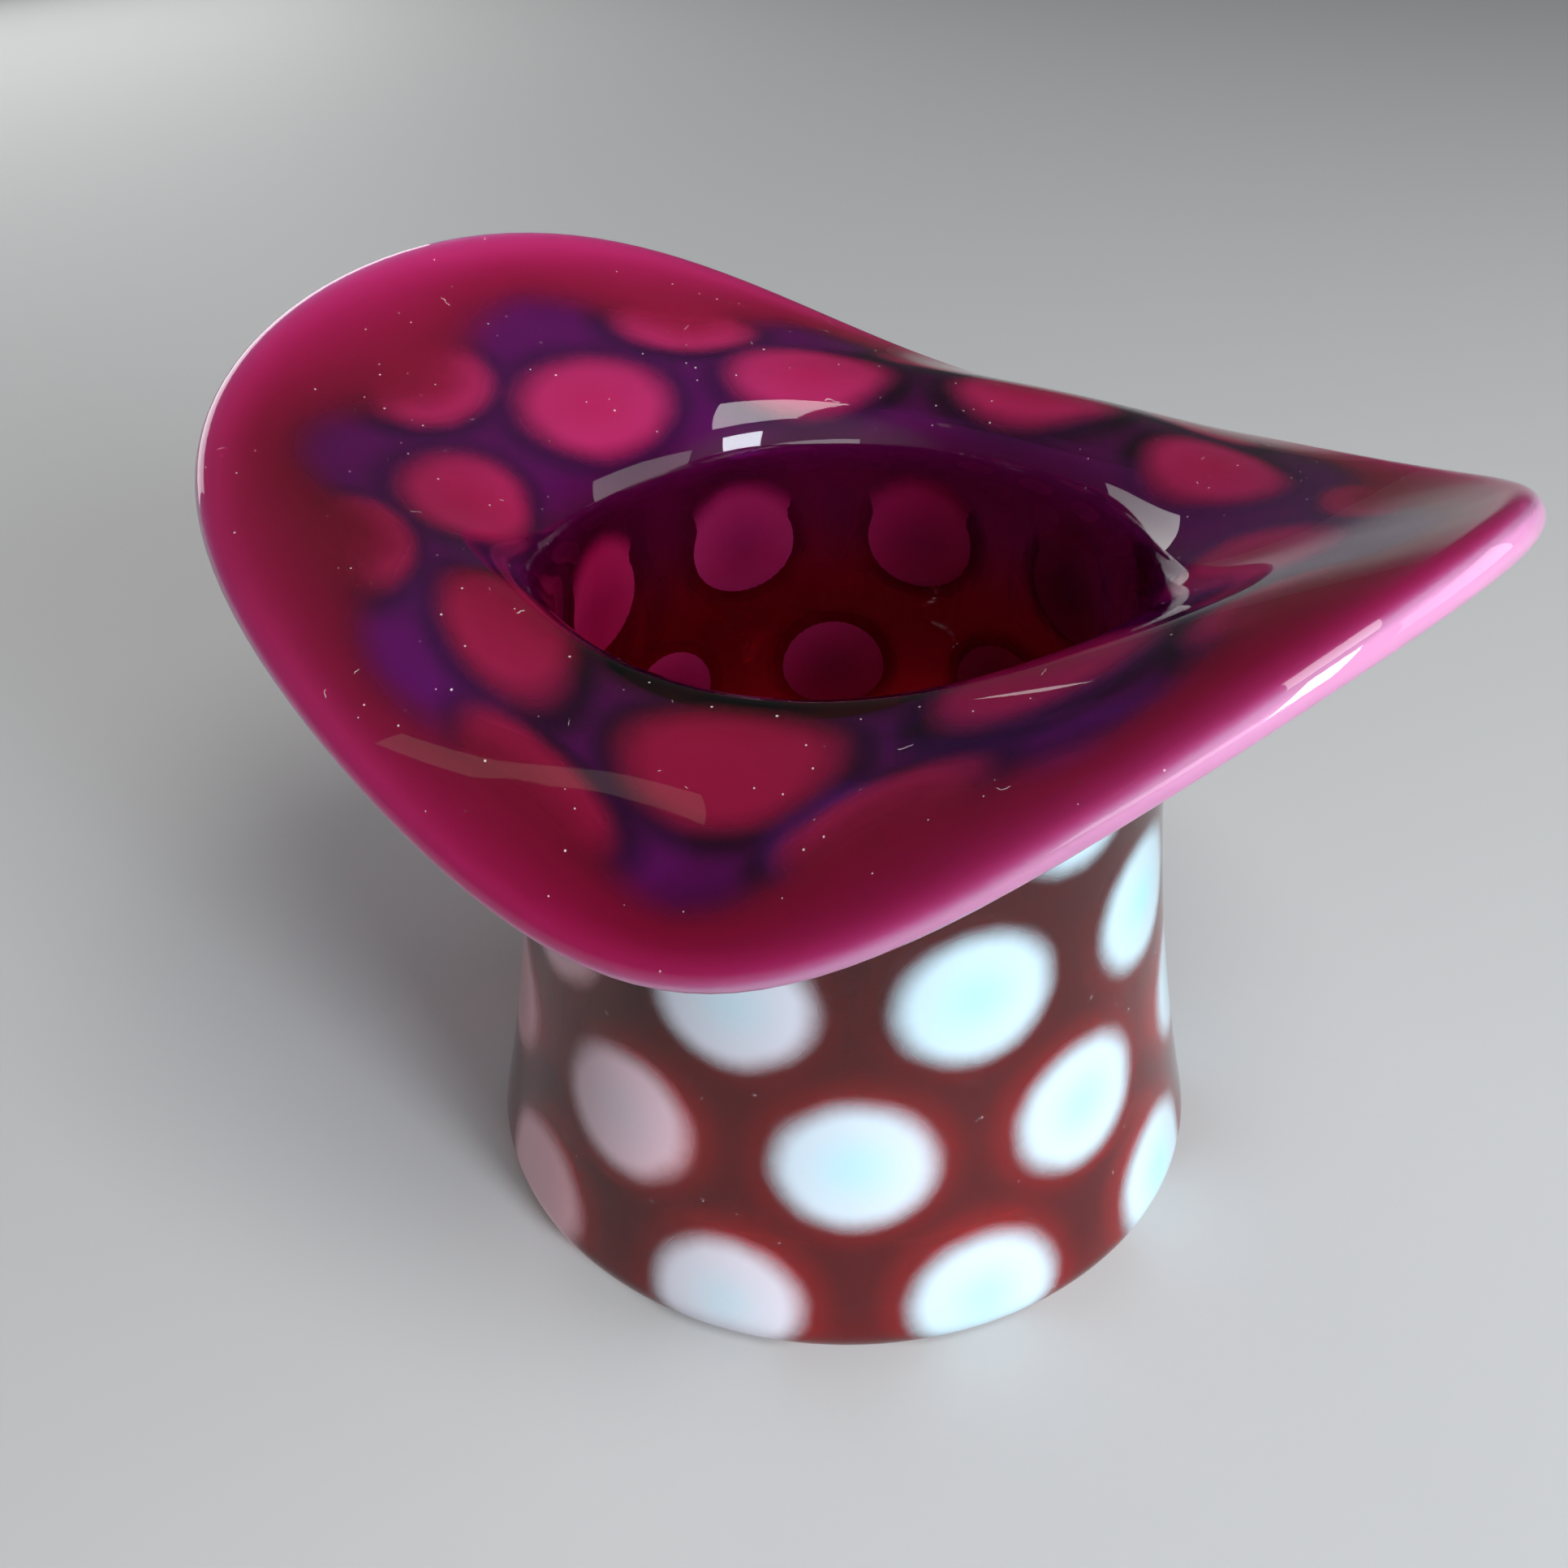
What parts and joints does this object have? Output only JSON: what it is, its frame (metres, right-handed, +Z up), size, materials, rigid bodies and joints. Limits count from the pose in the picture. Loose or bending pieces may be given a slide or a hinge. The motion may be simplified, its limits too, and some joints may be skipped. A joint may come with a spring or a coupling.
{
  "type": "glass hat",
  "caption": "Small blown glass hat vase standing on its crown, ruby glass cased in clear glass with rows of opal spots, with a wavy hand-shaped brim.",
  "frame": {"origin": "middle of the flat foot, which is the top of the hat's crown, on the plane that it rests on", "axes": "+Z up along the crown's axis, +X along the longer way of the brim, towards one of its two turned-up ends"},
  "size_m": [0.1081, 0.0902, 0.0788],
  "materials": {
    "ruby_glass": "fire-polished transparent ruby glass",
    "clear_glass": "fire-polished clear glass",
    "opal_glass": "struck opal glass, milky white with a bluish edge",
    "opal_rim_glass": "struck opal glass, milky pink over ruby"
  },
  "bodies": {
    "root": {"ruby_lining": "ruby_glass", "clear_casing": "clear_glass", "opal_dots_row_1": "opal_glass", "opal_dots_row_2": "opal_glass", "opal_dots_row_3": "opal_glass", "opal_dots_row_4": "opal_glass", "opal_dots_row_5": "opal_glass", "opal_dots_row_6": "opal_glass", "opal_rim_band": "opal_rim_glass"}
  },
  "joints": []
}
